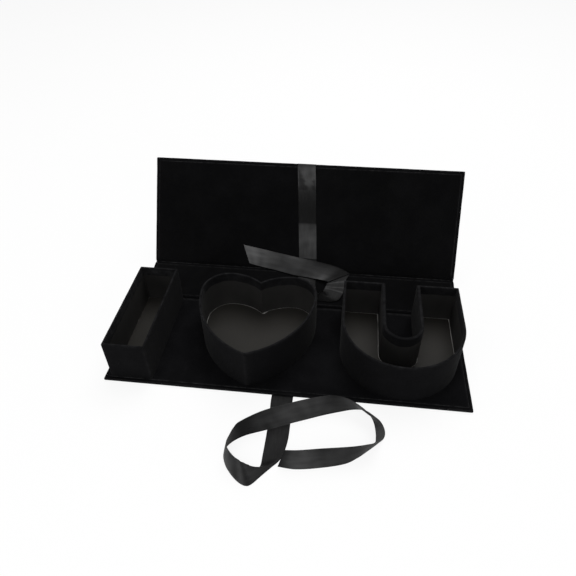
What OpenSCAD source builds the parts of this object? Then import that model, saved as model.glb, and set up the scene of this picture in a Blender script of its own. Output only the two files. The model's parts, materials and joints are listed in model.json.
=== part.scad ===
// Valentine gift case in black velvet. It opens like a book: a base board, a
// spine board and a lid board joined by cloth hinges. Three open trays stand on
// the base, shaped as a bar, a heart and a U. A satin ribbon runs round the
// outside and ends in two free tails.
// Millimetres, +Z up. The origin is the middle of the underside of the base.

/* [Case] */
// Length of the case, left to right
case_length = 420; // [405:1:480]
// Depth of the base, from its front edge to the rear hinge line
base_depth = 146; // [143:1:170]
// Depth of the lid, from the lid hinge line to its free edge
lid_depth = 146; // [120:1:170]
// Height of the spine, from hinge line to hinge line
spine_height = 61; // [59:1:80]
// Thickness of the grey board in the base, spine and lid
board_thick = 2.4; // [1.6:0.1:3]
// Thickness of the velvet on the outside, with its turned-in edges
cloth_thick = 0.5; // [0.3:0.05:0.7]
// Thickness of the velvet panels on the inside
liner_thick = 0.5; // [0.3:0.05:0.7]
// Width of the velvet turned in over the edge of a board
turn_in = 14; // [8:1:20]
// Strip of turned-in velvet that shows round an inside panel
liner_margin = 4; // [2:0.5:6]
// Gap between two boards at a hinge
hinge_gap = 5; // [4.5:0.1:5.5]
// Depth of the hinge cloth glued to each board
hinge_flange = 8; // [5:0.5:12]

/* [Rest pose] */
// Slope of the spine above the table, in degrees
spine_slope = 10; // [4:1:20]
// Turn of the lid from the line of the spine, in degrees
lid_turn = 48; // [40:1:60]

/* [Trays] */
// Height of the three trays above the base
tray_height = 53.5; // [40:0.5:54]
// Thickness of the board in the tray walls
wall_board = 1.8; // [1.4:0.1:2.2]
// Thickness of the board round the slot of the U
slot_board = 3; // [2:0.1:3.5]
// Thickness of the board that closes a tray below
floor_board = 1.6; // [1.2:0.1:2]
// Thickness of the loose card on a tray floor
card_thick = 0.4; // [0.3:0.05:0.6]
// Gap round the loose card
card_gap = 0.5; // [0.3:0.05:0.8]
// Thickness of the paper inside a tray
paper_thick = 0.3; // [0.2:0.05:0.4]
// Depth of the velvet turned in over a tray rim
rim_turn = 11; // [8:0.5:15]
// Strip of base behind the trays, up to the hinge line
rear_strip = 4; // [3.8:0.1:5]

/* [Bar tray] */
// Left edge of the base to the bar tray
bar_margin = 8; // [6:0.5:12]
// Width of the bar tray
bar_width = 49.5; // [44:0.5:56]
// Strip of base in front of the bar tray
bar_front_strip = 5; // [4:0.5:12]

/* [Heart tray] */
// Gap between the bar tray and the heart tray
bar_heart_gap = 39; // [34:0.5:42]
// Width of the heart tray
heart_width = 143; // [138:1:146]
// Strip of base in front of the tip of the heart
heart_front_strip = 7.5; // [4:0.5:16]
// Radius of the outer side of a lobe
lobe_radius = 32.6; // [30:0.2:34]
// Depth of the notch between the lobes
notch_depth = 14.2; // [12:0.2:16]

/* [U tray] */
// Gap between the heart tray and the U tray
heart_u_gap = 31.5; // [28:0.5:34]
// Width of the U tray
u_width = 139.5; // [132:0.5:141]
// Strip of base in front of the U tray
u_front_strip = 6.5; // [4:0.5:12]
// Width of the slot between the arms of the U
slot_width = 38.5; // [34:0.5:42]
// Depth of the slot, from the rear
slot_depth = 90; // [80:1:96]

/* [Ribbon] */
// Width of the ribbon
ribbon_width = 24; // [20:1:25]
// Thickness of the ribbon
ribbon_thick = 0.3; // [0.2:0.02:0.35]
// Sideways drift of the ribbon down the inside of the lid
ribbon_drift = 9; // [4:0.5:12]

/* [Hidden] */
$fn = 144;
// Overrun of every cut
over = 1;
// Total thickness of a covered board
panel_thick = cloth_thick + board_thick + cloth_thick + liner_thick;
hinge_y = base_depth / 2;
front_y = hinge_y - base_depth;
half_gap = hinge_gap / 2;
// Strip of board left bare between an inside panel and a hinge
hinge_margin = 1.2;
// Groove of the cloth inside a hinge, round the hinge line
groove_radius = 2.2;
// Flats that make up the bend of the cloth outside a hinge
bend_steps = 12;

tray_rear = hinge_y - rear_strip;
bar_depth = base_depth - rear_strip - bar_front_strip;
heart_depth = base_depth - rear_strip - heart_front_strip;
u_depth = base_depth - rear_strip - u_front_strip;
bar_x = bar_margin + bar_width / 2 - case_length / 2;
heart_x = bar_x + bar_width / 2 + bar_heart_gap + heart_width / 2;
u_x = heart_x + heart_width / 2 + heart_u_gap + u_width / 2;
// Depths below the outside face of a tray wall, one for each layer
under_cloth = cloth_thick;
under_board = under_cloth + wall_board;
under_turn = under_board + cloth_thick;
under_paper = under_board + paper_thick;
under_card = under_paper + card_gap;
// How much thicker the wall round the slot is
slot_extra = slot_board - wall_board;

// Heart outline, from the middle of its width and the rear of its lobes
lobe_x = heart_width / 2 - lobe_radius;
lobe_y = tray_rear - lobe_radius;
side_drop = heart_depth - lobe_radius;
side_radius = (pow(heart_width / 2, 2) + pow(side_drop, 2)) / heart_width;
crown_radius = (pow(lobe_x, 2) + pow(notch_depth, 2)) / (2 * notch_depth);

// Free ribbon in front, on the table, in shares of the ribbon's width. Each row
// is a place along it: x, distance in front of the base and height above lying
// flat, first of the edge that stays down, then of the edge that rises.
front_route_shares = [
    [0.5, 0, 0, -0.5, 0, 0],
    [0.5, 0.38, 0, -0.5, 0.38, 0],
    [0.52, 0.96, 0, -0.46, 1.04, 0],
    [0.54, 1.7, 0, -0.44, 1.88, 0],
    [0.52, 2.45, 0, -0.44, 2.65, 0.01],
    [0.38, 3.15, 0, -0.44, 3.62, 0.12],
    [0.06, 3.75, 0, -0.42, 4.05, 0.78],
    [-0.42, 4.25, 0, -0.34, 4.3, 1],
    [-0.84, 4.54, 0, -0.5, 4.38, 0.93],
    [-1.2, 4.48, 0, -0.84, 4.3, 0.92],
    [-1.58, 4.16, 0, -1.25, 4.06, 0.94],
    [-1.96, 3.75, 0, -1.65, 3.8, 0.94],
    [-2.1, 3.34, 0, -1.9, 3.5, 0.97],
    [-2.04, 2.92, 0, -2.02, 3.08, 0.99],
    [-1.75, 2.54, 0, -1.94, 2.62, 0.98],
    [-1.3, 2.25, 0.02, -1.58, 2.25, 0.97],
    [-0.42, 1.9, 0.05, -0.7, 1.62, 0.99],
    [0.54, 1.48, 0.05, 0.3, 1.12, 0.96],
    [1.25, 1.16, 0.02, 1.04, 0.85, 0.95],
    [1.92, 0.85, 0, 1.72, 0.58, 0.95],
    [2.66, 0.56, 0, 2.42, 0.44, 0.97],
    [3.34, 0.35, 0, 3.06, 0.54, 0.95],
    [3.88, 0.4, 0, 3.6, 0.8, 0.89],
    [4.3, 0.68, 0, 4, 1.18, 0.83],
    [4.6, 1.02, 0, 4.24, 1.52, 0.79],
    [4.72, 1.44, 0, 4.32, 1.94, 0.78],
    [4.62, 1.84, 0, 4.28, 2.35, 0.79],
    [4.3, 2.2, 0, 4.2, 2.68, 0.88],
    [3.75, 2.66, 0, 3.66, 2.84, 0.99],
    [3.04, 3.12, 0, 3, 3, 1],
    [2.08, 3.44, 0, 2.02, 3.16, 0.97],
    [1.04, 3.64, 0, 1.12, 3.34, 0.96],
    [0.44, 3.62, 0, 0.6, 3.4, 0.97]
];
// Free ribbon behind, in shares of the ribbon's width. Each row gives for both
// edges: x from the middle of the strip on the lid, the way up the lid from its
// hinge line (down the spine is less than zero), and the height off the face.
rear_route_shares = [
    [-0.5, 0.72, 0, 0.5, 0.72, 0],
    [-0.5, 0.3, 0.02, 0.5, 0.3, 0.02],
    [-0.49, 0.1, 0.04, 0.51, 0.1, 0.04],
    [-0.48, -0.1, 0.04, 0.52, -0.1, 0.04],
    [-0.47, -0.32, 0.02, 0.53, -0.32, 0.02],
    [-0.46, -0.6, 0.02, 0.54, -0.6, 0.02],
    [-0.42, -1.16, 0.02, 0.58, -1.16, 0.02],
    [-0.3, -1.7, 0.02, 0.67, -1.5, 0.04],
    [0, -2.12, 0.02, 0.8, -1.7, 0.12],
    [0.46, -2.3, 0.02, 0.88, -1.78, 0.29],
    [1, -2.34, 0.02, 0.96, -1.78, 0.33],
    [1.54, -2.25, 0.03, 1.04, -1.7, 0.29],
    [1.96, -1.92, 0.04, 1.1, -1.54, 0.16],
    [2.12, -1.5, 0.08, 1.14, -1.34, 0.09],
    [2.2, -1.04, 0.11, 1.2, -1.04, 0.11],
    [2.35, -0.54, 0.12, 1.25, -0.8, 0.14],
    [2.44, -0.12, 0.13, 1.27, -0.66, 0.15],
    [2.12, 0.28, 0.12, 1.16, -0.6, 0.14],
    [1.5, 0.44, 0.09, 0.92, -0.58, 0.1],
    [0.54, 0.6, 0.07, 0.34, -0.48, 0.06],
    [-0.58, 0.77, 0.07, -0.75, -0.32, 0.06],
    [-1.75, 0.96, 0.05, -1.92, -0.08, 0.06],
    [-2.88, 1.15, 0.03, -2.88, 0.15, 0.05],
    [-3.8, 1.3, 0.02, -3.42, 0.26, 0.02]
];
// Where the glued strip on the lid ends and the free ribbon begins
strip_end_share = 0.75;
// Steps of the smooth ribbon from one place to the next
ribbon_steps = 2;

// Places

// The rear hinge line is the X axis here, and the base runs forward from it
module base_place() translate([0, hinge_y, panel_thick]) mirror([0, 1, 0]) children();

// The rear hinge line is the X axis here, and the spine runs along +Y
module spine_place() translate([0, hinge_y, panel_thick]) rotate([spine_slope, 0, 0]) children();

// The lid hinge line is the X axis here, and the lid runs along +Y
module lid_place() spine_place() translate([0, spine_height, 0]) rotate([lid_turn, 0, 0]) children();

module on_base() translate([0, 0, panel_thick]) children();

// Shapes of the case. A panel lies from near to far on Y, its inside face at Z 0.

// A block across the case, drawn in from its left and right ends
module across(inset, near, far, low, high)
    translate([inset - case_length / 2, near, low])
        cube([case_length - 2 * inset, far - near, high - low]);

module ribbon_block(near, far, low, high)
    translate([-ribbon_width / 2, near, low])
        cube([ribbon_width, far - near, high - low]);

// Grey board: free_end is true where the far edge is covered by velvet
module panel_board(near, far, free_end)
    across(cloth_thick, near, free_end ? far - cloth_thick : far,
        cloth_thick - panel_thick, -liner_thick - cloth_thick);

// Velvet on the outside of a board, turned in over its covered edges
module panel_cover(near, far, free_end)
    difference() {
        across(0, near, far, -panel_thick, -liner_thick);
        across(cloth_thick, near - over, free_end ? far - cloth_thick : far + over,
            cloth_thick - panel_thick, -liner_thick - cloth_thick);
        across(turn_in, near - over, free_end ? far - turn_in : far + over,
            -liner_thick - cloth_thick - over, over);
        ribbon_block(near - over, far + over, -panel_thick - over, ribbon_thick - panel_thick);
    }

// Velvet panel on the inside, pressed down between the turned-in edges
module panel_liner(near, far, free_end) {
    across(liner_margin, near + hinge_margin,
        free_end ? far - liner_margin : far - hinge_margin, -liner_thick, 0);
    across(turn_in, near + hinge_flange, free_end ? far - turn_in : far - hinge_flange,
        -liner_thick - cloth_thick, 0);
}

// Shapes of the hinges, drawn across the case: X is away from the hinge line
// and Y is up. The first board lies along -X and the second is turned up.

module ring(outer, thick)
    difference() {
        circle(outer);
        circle(outer - thick);
    }

// A place on the bend, from straight below the hinge line to the second board
function on_bend(radius, turn) = radius * [sin(turn), -cos(turn)];

function bend_end(radius, turn) = on_bend(radius, turn) + half_gap * [cos(turn), sin(turn)];

// Cloth that leaves the first board flat, bends round the hinge line and meets
// the second board flat
module outer_bend(turn, radius, thick)
    polygon([
        [-half_gap, -radius],
        for (i = [0 : bend_steps]) on_bend(radius, turn * i / bend_steps),
        bend_end(radius, turn),
        bend_end(radius - thick, turn),
        for (i = [bend_steps : -1 : 0]) on_bend(radius - thick, turn * i / bend_steps),
        [-half_gap, thick - radius]
    ]);

// Cloth glued on both boards, with a groove round the hinge line
module inner_bend(turn) {
    reach = half_gap + hinge_flange - over_groove();
    difference() {
        union() {
            translate([-half_gap - hinge_flange, -liner_thick - cloth_thick])
                square([reach, cloth_thick]);
            rotate(turn) translate([over_groove(), -liner_thick - cloth_thick])
                square([reach, cloth_thick]);
            intersection() {
                ring(groove_radius, cloth_thick);
                union() {
                    below_face();
                    rotate(turn) below_face();
                }
            }
        }
        circle(groove_radius - cloth_thick);
    }
}

// Where a flange meets the groove
function over_groove() = groove_radius - cloth_thick;

module below_face()
    translate([-2 * groove_radius, -2 * groove_radius - liner_thick])
        square([4 * groove_radius, 2 * groove_radius]);

// Turns a shape drawn in X and Y into a bar of this length across the case
module along_hinge(length)
    rotate([90, 0, 90]) linear_extrude(length, center = true) children();

module hinge_outer_cloth(turn)
    difference() {
        along_hinge(case_length) outer_bend(turn, panel_thick, cloth_thick);
        along_hinge(ribbon_width) outer_bend(turn, panel_thick + over, ribbon_thick + over);
    }

module hinge_inner_cloth(turn)
    along_hinge(case_length - 2 * turn_in) inner_bend(turn);

module hinge_ribbon(turn)
    along_hinge(ribbon_width) outer_bend(turn, panel_thick, ribbon_thick);

// Shapes of the trays. Each outline is drawn in by a depth below the outside
// face of the wall.

module bar_outline(depth)
    translate([bar_x - bar_width / 2 + depth, tray_rear - bar_depth + depth])
        square([bar_width - 2 * depth, bar_depth - 2 * depth]);

// The part of the right half of the heart that lies beyond x and between y and
// y + high
module heart_window(x, y, high)
    translate([x, y]) square([heart_width, high]);

module half_heart(depth) {
    intersection() {
        translate([heart_width / 2 - side_radius, lobe_y]) circle(side_radius - depth);
        heart_window(0, lobe_y - heart_depth, heart_depth);
    }
    intersection() {
        translate([lobe_x, lobe_y]) circle(lobe_radius - depth);
        heart_window(lobe_x, lobe_y, heart_depth);
    }
    intersection() {
        translate([lobe_x, tray_rear - crown_radius]) circle(crown_radius - depth);
        translate([0, lobe_y]) square([lobe_x, heart_depth]);
    }
}

module heart_outline(depth)
    translate([heart_x, 0])
        for (side = [0, 1])
            mirror([side, 0]) half_heart(depth);

// A straight run to the rear with a round front end
module tongue(width, front, rear) {
    translate([-width / 2, front + width / 2])
        square([width, rear - front - width / 2]);
    intersection() {
        translate([0, front + width / 2]) circle(width / 2);
        translate([-width / 2, front]) square([width, width / 2]);
    }
}

module u_outline(depth, slot_wall)
    translate([u_x, 0])
        difference() {
            tongue(u_width - 2 * depth, tray_rear - u_depth + depth, tray_rear - depth);
            tongue(slot_width + 2 * slot_wall, tray_rear - slot_depth - slot_wall,
                tray_rear + over);
        }

// Children: the outline at the outside, under the cloth, under the board and
// under the turned-in velvet
module rim_velvet()
    difference() {
        linear_extrude(tray_height) children(0);
        translate([0, 0, -over]) linear_extrude(tray_height - cloth_thick + over)
            difference() {
                children(1);
                children(2);
            }
        translate([0, 0, -over]) linear_extrude(tray_height - rim_turn + over) children(2);
        translate([0, 0, -over]) linear_extrude(tray_height + 2 * over) children(3);
    }

// A shell between two outlines
module shell(low, high)
    translate([0, 0, low]) linear_extrude(high - low)
        difference() {
            children(0);
            children(1);
        }

module plate(low, thick)
    translate([0, 0, low]) linear_extrude(thick) children();

module tray_wall_of() shell(0, tray_height - cloth_thick) { children(0); children(1); }

module tray_paper_of() shell(floor_board, tray_height - rim_turn) { children(0); children(1); }

// Ribbon that lies free: two edges joined by a thin band

// A smooth curve through the places of one edge
function smooth(a, b, c, d, t) =
    b + t * ((c - a) + t * ((2 * a - 5 * b + 4 * c - d) + t * (3 * b - a - 3 * c + d))) / 2;

function smooth_edge(points) = [
    for (i = [0 : len(points) - 2])
        for (step = [0 : ribbon_steps - 1])
            smooth(points[max(i - 1, 0)], points[i], points[i + 1],
                points[min(i + 2, len(points) - 1)], step / ribbon_steps),
    points[len(points) - 1]
];

function unit(v) = v / norm(v);

// Square to the band at ring i
function band_normal(down, up, i) =
    let (
        last = len(down) - 1,
        next = min(i + 1, last),
        prev = max(i - 1, 0),
        run = down[next] + up[next] - down[prev] - up[prev]
    )
    unit(cross(run, up[i] - down[i]));

module band(down, up) {
    n = len(down);
    half = ribbon_thick / 2;
    points = [
        for (i = [0 : n - 1])
            let (off = half * band_normal(down, up, i))
                each [down[i] - off, up[i] - off, up[i] + off, down[i] + off]
    ];
    // Both faces of the band are cut along the same diagonal, so they stay apart
    sides = [
        for (i = [0 : n - 2])
            for (k = [0 : 3])
                let (a = 4 * i + k, b = 4 * i + (k + 1) % 4)
                    each k < 2
                        ? [[a, b, b + 4], [a, b + 4, a + 4]]
                        : [[a, b, a + 4], [b, b + 4, a + 4]]
    ];
    last = 4 * (n - 1);
    ends = [
        [2, 1, 0],
        [3, 2, 0],
        [last, last + 1, last + 2],
        [last, last + 2, last + 3]
    ];
    polyhedron(points = points, faces = concat(sides, ends));
}

// A place on the table in front of the base
function in_front(x, ahead, height) =
    [x, front_y - ahead, height] + [0, 0, ribbon_thick / 2];

// The smooth curve of an edge, nowhere below the table
function above_table(points) = [
    for (p = smooth_edge(points)) [p[0], p[1], max(p[2], ribbon_thick / 2)]
];

front_down = above_table([
    for (p = front_route_shares * ribbon_width) in_front(p[0], p[1], p[2])
]);
front_up = above_table([
    for (p = front_route_shares * ribbon_width) in_front(p[3], p[4], p[5])
]);

// A place on the inside of the spine or the lid, in the frame of the spine
function on_inside(x, way, height) =
    let (off = height + ribbon_thick / 2)
    way <= 0
        ? [ribbon_drift + x, spine_height + way, off]
        : [
            ribbon_drift + x,
            spine_height + way * cos(lid_turn) - off * sin(lid_turn),
            way * sin(lid_turn) + off * cos(lid_turn)
        ];

rear_down = smooth_edge([
    for (p = rear_route_shares * ribbon_width) on_inside(p[0], p[1], p[2])
]);
rear_up = smooth_edge([
    for (p = rear_route_shares * ribbon_width) on_inside(p[3], p[4], p[5])
]);

// Boards

module base_board() color("dimgray") base_place() panel_board(half_gap, base_depth, true);

module spine_board()
    color("dimgray") spine_place() panel_board(half_gap, spine_height - half_gap, false);

module lid_board() color("dimgray") lid_place() panel_board(half_gap, lid_depth, true);

// Velvet covers and inside panels

module base_velvet_cover()
    color([0.05, 0.05, 0.06]) base_place() panel_cover(half_gap, base_depth, true);

module spine_velvet_cover()
    color([0.05, 0.05, 0.06]) spine_place()
        panel_cover(half_gap, spine_height - half_gap, false);

module lid_velvet_cover()
    color([0.05, 0.05, 0.06]) lid_place() panel_cover(half_gap, lid_depth, true);

module base_inner_panel()
    color([0.08, 0.08, 0.09]) base_place() panel_liner(half_gap, base_depth, true);

module spine_inner_panel()
    color([0.08, 0.08, 0.09]) spine_place()
        panel_liner(half_gap, spine_height - half_gap, false);

module lid_inner_panel()
    color([0.08, 0.08, 0.09]) lid_place() panel_liner(half_gap, lid_depth, true);

// Cloth hinges

module rear_hinge_outer_cloth()
    color([0.05, 0.05, 0.06]) translate([0, hinge_y, panel_thick])
        hinge_outer_cloth(spine_slope);

module rear_hinge_inner_cloth()
    color([0.1, 0.1, 0.11]) translate([0, hinge_y, panel_thick])
        hinge_inner_cloth(spine_slope);

module lid_hinge_outer_cloth()
    color([0.05, 0.05, 0.06]) spine_place() translate([0, spine_height, 0])
        hinge_outer_cloth(lid_turn);

module lid_hinge_inner_cloth()
    color([0.1, 0.1, 0.11]) spine_place() translate([0, spine_height, 0])
        hinge_inner_cloth(lid_turn);

// Bar tray

module bar_tray_wall()
    color("gray") on_base() tray_wall_of() {
        bar_outline(under_cloth);
        bar_outline(under_board);
    }

module bar_tray_velvet()
    color([0.06, 0.06, 0.07]) on_base() rim_velvet() {
        bar_outline(0);
        bar_outline(under_cloth);
        bar_outline(under_board);
        bar_outline(under_turn);
    }

module bar_tray_paper()
    color([0.14, 0.14, 0.14]) on_base() tray_paper_of() {
        bar_outline(under_board);
        bar_outline(under_paper);
    }

module bar_tray_floor() color("gray") on_base() plate(0, floor_board) bar_outline(under_board);

module bar_tray_card()
    color([0.2, 0.19, 0.18]) on_base() plate(floor_board, card_thick) bar_outline(under_card);

// Heart tray

module heart_tray_wall()
    color("gray") on_base() tray_wall_of() {
        heart_outline(under_cloth);
        heart_outline(under_board);
    }

module heart_tray_velvet()
    color([0.06, 0.06, 0.07]) on_base() rim_velvet() {
        heart_outline(0);
        heart_outline(under_cloth);
        heart_outline(under_board);
        heart_outline(under_turn);
    }

module heart_tray_paper()
    color([0.14, 0.14, 0.14]) on_base() tray_paper_of() {
        heart_outline(under_board);
        heart_outline(under_paper);
    }

module heart_tray_floor()
    color("gray") on_base() plate(0, floor_board) heart_outline(under_board);

module heart_tray_card()
    color([0.2, 0.19, 0.18]) on_base() plate(floor_board, card_thick) heart_outline(under_card);

// U tray. Its wall is thicker round the slot.

module u_tray_wall()
    color("gray") on_base() tray_wall_of() {
        u_outline(under_cloth, under_cloth);
        u_outline(under_board, under_board + slot_extra);
    }

module u_tray_velvet()
    color([0.06, 0.06, 0.07]) on_base() rim_velvet() {
        u_outline(0, 0);
        u_outline(under_cloth, under_cloth);
        u_outline(under_board, under_board + slot_extra);
        u_outline(under_turn, under_turn + slot_extra);
    }

module u_tray_paper()
    color([0.14, 0.14, 0.14]) on_base() tray_paper_of() {
        u_outline(under_board, under_board + slot_extra);
        u_outline(under_paper, under_paper + slot_extra);
    }

module u_tray_floor()
    color("gray") on_base() plate(0, floor_board)
        u_outline(under_board, under_board + slot_extra);

module u_tray_card()
    color([0.2, 0.19, 0.18]) on_base() plate(floor_board, card_thick)
        u_outline(under_card, under_card + slot_extra);

// Ribbon: glued round the outside, then free at both ends

module ribbon_under_base()
    color([0.25, 0.25, 0.26]) base_place()
        ribbon_block(half_gap, base_depth, -panel_thick, ribbon_thick - panel_thick);

module ribbon_over_rear_hinge()
    color([0.25, 0.25, 0.26]) translate([0, hinge_y, panel_thick]) hinge_ribbon(spine_slope);

module ribbon_behind_spine()
    color([0.25, 0.25, 0.26]) spine_place()
        ribbon_block(half_gap, spine_height - half_gap, -panel_thick,
            ribbon_thick - panel_thick);

module ribbon_over_lid_hinge()
    color([0.25, 0.25, 0.26]) spine_place() translate([0, spine_height, 0])
        hinge_ribbon(lid_turn);

// Up the outside of the lid and over its free edge
module ribbon_outside_lid()
    color([0.25, 0.25, 0.26]) lid_place() {
        ribbon_block(half_gap, lid_depth, -panel_thick, ribbon_thick - panel_thick);
        ribbon_block(lid_depth, lid_depth + ribbon_thick, -panel_thick, ribbon_thick);
    }

// Down the inside of the lid, as far as the free tail
tail_start = ribbon_width * strip_end_share;
module ribbon_inside_lid()
    color([0.25, 0.25, 0.26]) lid_place() linear_extrude(ribbon_thick)
        polygon([
            [-ribbon_width / 2, lid_depth],
            [ribbon_width / 2, lid_depth],
            [ribbon_width / 2 + ribbon_drift, tail_start],
            [ribbon_drift - ribbon_width / 2, tail_start]
        ]);

module ribbon_front_tail() color([0.25, 0.25, 0.26]) band(front_down, front_up);

module ribbon_rear_tail() color([0.25, 0.25, 0.26]) spine_place() band(rear_down, rear_up);

base_board();
spine_board();
lid_board();
base_velvet_cover();
spine_velvet_cover();
lid_velvet_cover();
base_inner_panel();
spine_inner_panel();
lid_inner_panel();
rear_hinge_outer_cloth();
rear_hinge_inner_cloth();
lid_hinge_outer_cloth();
lid_hinge_inner_cloth();
bar_tray_wall();
bar_tray_velvet();
bar_tray_paper();
bar_tray_floor();
bar_tray_card();
heart_tray_wall();
heart_tray_velvet();
heart_tray_paper();
heart_tray_floor();
heart_tray_card();
u_tray_wall();
u_tray_velvet();
u_tray_paper();
u_tray_floor();
u_tray_card();
ribbon_under_base();
ribbon_over_rear_hinge();
ribbon_behind_spine();
ribbon_over_lid_hinge();
ribbon_outside_lid();
ribbon_inside_lid();
ribbon_front_tail();
ribbon_rear_tail();
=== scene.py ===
# A black velvet gift case that opens like a book. Three open trays stand on its base, shaped as a
# bar, a heart and a U, and a satin ribbon runs round the outside and ends in two free tails.
import json
import math

import bmesh
import bpy
import numpy as np
from mathutils import Matrix, Vector, geometry, noise


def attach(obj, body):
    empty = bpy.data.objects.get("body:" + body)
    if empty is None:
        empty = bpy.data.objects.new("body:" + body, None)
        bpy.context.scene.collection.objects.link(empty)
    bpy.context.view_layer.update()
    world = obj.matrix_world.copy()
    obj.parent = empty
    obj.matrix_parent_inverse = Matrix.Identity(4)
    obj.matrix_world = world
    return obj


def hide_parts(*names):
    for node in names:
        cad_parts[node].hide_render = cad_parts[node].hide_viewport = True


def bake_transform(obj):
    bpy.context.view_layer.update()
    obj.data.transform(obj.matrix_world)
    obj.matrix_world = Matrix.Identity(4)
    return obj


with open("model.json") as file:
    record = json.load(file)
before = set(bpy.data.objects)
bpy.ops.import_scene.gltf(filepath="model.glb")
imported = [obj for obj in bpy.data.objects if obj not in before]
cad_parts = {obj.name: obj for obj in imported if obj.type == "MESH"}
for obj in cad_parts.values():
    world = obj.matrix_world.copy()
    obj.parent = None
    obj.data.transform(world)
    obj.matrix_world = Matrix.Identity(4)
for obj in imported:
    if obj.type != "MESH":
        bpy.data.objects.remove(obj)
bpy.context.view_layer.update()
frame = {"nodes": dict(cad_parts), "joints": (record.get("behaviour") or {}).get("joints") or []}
scene = bpy.context.scene

# Camera. It stood in front of the case, a little right of its middle, and looked down on it with
# a slight roll. The lens is in millimetres on a sensor 36 mm wide.
camera_place = Vector((0.0548, -0.4319, 0.4852))
camera_turn = math.radians(-7.3814)
camera_drop = math.radians(-41.5566)
camera_roll = math.radians(-0.9109)
forward = Vector((
    math.sin(camera_turn) * math.cos(camera_drop),
    math.cos(camera_turn) * math.cos(camera_drop),
    math.sin(camera_drop),
))
level = Vector((math.cos(camera_turn), -math.sin(camera_turn), 0.0))
upward = level.cross(forward)
across_view = level * math.cos(camera_roll) + upward * math.sin(camera_roll)
up_view = upward * math.cos(camera_roll) - level * math.sin(camera_roll)
camera_data = bpy.data.cameras.new("photo_camera")
camera_data.lens = 32.81
camera_data.sensor_width = 36.0
camera_data.clip_start = 0.01
camera = bpy.data.objects.new("photo_camera", camera_data)
turned = Matrix((across_view, up_view, -forward)).transposed().to_4x4()
camera.matrix_world = Matrix.Translation(camera_place) @ turned
scene.collection.objects.link(camera)
scene.camera = camera

# Covered boards. Each of the three grey boards is wrapped in black velvet, turned in over its
# free edges, and a velvet panel is glued inside, so that a narrow margin shows round it.
case_length, base_depth, lid_depth, spine_height = 420.0, 146.0, 146.0, 61.0
panel_thick, liner_thick, liner_margin, half_gap = 3.9, 0.5, 4.0, 2.5
channel_half, ribbon_thick = 12.0, 0.3
hinge_y = base_depth / 2
front_y = hinge_y - base_depth
hinges = {joint["name"]: joint for joint in frame["joints"]}
spine_slope = math.radians(-hinges["rear_hinge"]["range_deg"][0])
lid_turn = math.radians(-hinges["lid_hinge"]["range_deg"][0])
mm = 0.001


def on_base(points):
    """From the rear hinge line, with y running forward, to the case."""
    points = np.asarray(points, float)
    return np.stack([points[:, 0], hinge_y - points[:, 1], panel_thick + points[:, 2]], 1)


def leaned(points, turn, y, z):
    """Turned up round the X axis and moved to the hinge line at y and z."""
    points = np.asarray(points, float)
    cos, sin = math.cos(turn), math.sin(turn)
    return np.stack([
        points[:, 0],
        y + points[:, 1] * cos - points[:, 2] * sin,
        z + points[:, 1] * sin + points[:, 2] * cos,
    ], 1)


def on_spine(points):
    return leaned(points, spine_slope, hinge_y, panel_thick)


def on_lid(points):
    return on_spine(leaned(points, lid_turn, spine_height, 0.0))


def node(tree, kind, settings=None, sockets=None):
    """A node with its settings, and its sockets set to a value or joined to an output."""
    made = tree.nodes.new(kind)
    for name, value in (settings or {}).items():
        setattr(made, name, value)
    for name, value in (sockets or {}).items():
        if isinstance(value, bpy.types.NodeSocket):
            tree.links.new(value, made.inputs[name])
        else:
            made.inputs[name].default_value = value
    return made


def grained(tree, place, scale, detail, roughness=0.5):
    """Uneven noise from 0 to 1, with its scale in grains per metre."""
    return node(tree, "ShaderNodeTexNoise", sockets={
        "Vector": place, "Scale": scale, "Detail": detail, "Roughness": roughness}).outputs["Fac"]


def reckon(tree, operation, *values, clamp=False):
    settings = {"operation": operation, "use_clamp": clamp}
    return node(tree, "ShaderNodeMath", settings, dict(enumerate(values))).outputs[0]


def moved_range(tree, value, given, wanted, kind="LINEAR"):
    return node(tree, "ShaderNodeMapRange", {"interpolation_type": kind}, {
        "Value": value, "From Min": given[0], "From Max": given[1],
        "To Min": wanted[0], "To Max": wanted[1]}).outputs["Result"]


def tinted(tree, share, low, high):
    """A tone between two others, each of them a colour or an output that carries one."""
    low, high = (tone if isinstance(tone, bpy.types.NodeSocket) else (*tone, 1)
                 for tone in (low, high))
    return node(tree, "ShaderNodeMix", {"data_type": "RGBA"}, {
        "Factor": share, "A": low, "B": high}).outputs["Result"]


def new_finish(name, roughness, specular, sheen=0.0, sheen_roughness=0.5):
    finish = bpy.data.materials.new(name)
    finish.use_nodes = True
    skin = finish.node_tree.nodes["Principled BSDF"]
    skin.inputs["Roughness"].default_value = roughness
    skin.inputs["Specular IOR Level"].default_value = specular
    skin.inputs["Sheen Weight"].default_value = sheen
    skin.inputs["Sheen Roughness"].default_value = sheen_roughness
    return finish, finish.node_tree, skin


def dress(tree, skin, colour, relief, strength, depth):
    """Joins a colour and a fine relief to a finish. The depth of the relief is in metres."""
    tree.links.new(colour, skin.inputs["Base Color"])
    bump = node(tree, "ShaderNodeBump", sockets={
        "Strength": strength, "Distance": depth, "Height": relief})
    tree.links.new(bump.outputs["Normal"], skin.inputs["Normal"])


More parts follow.
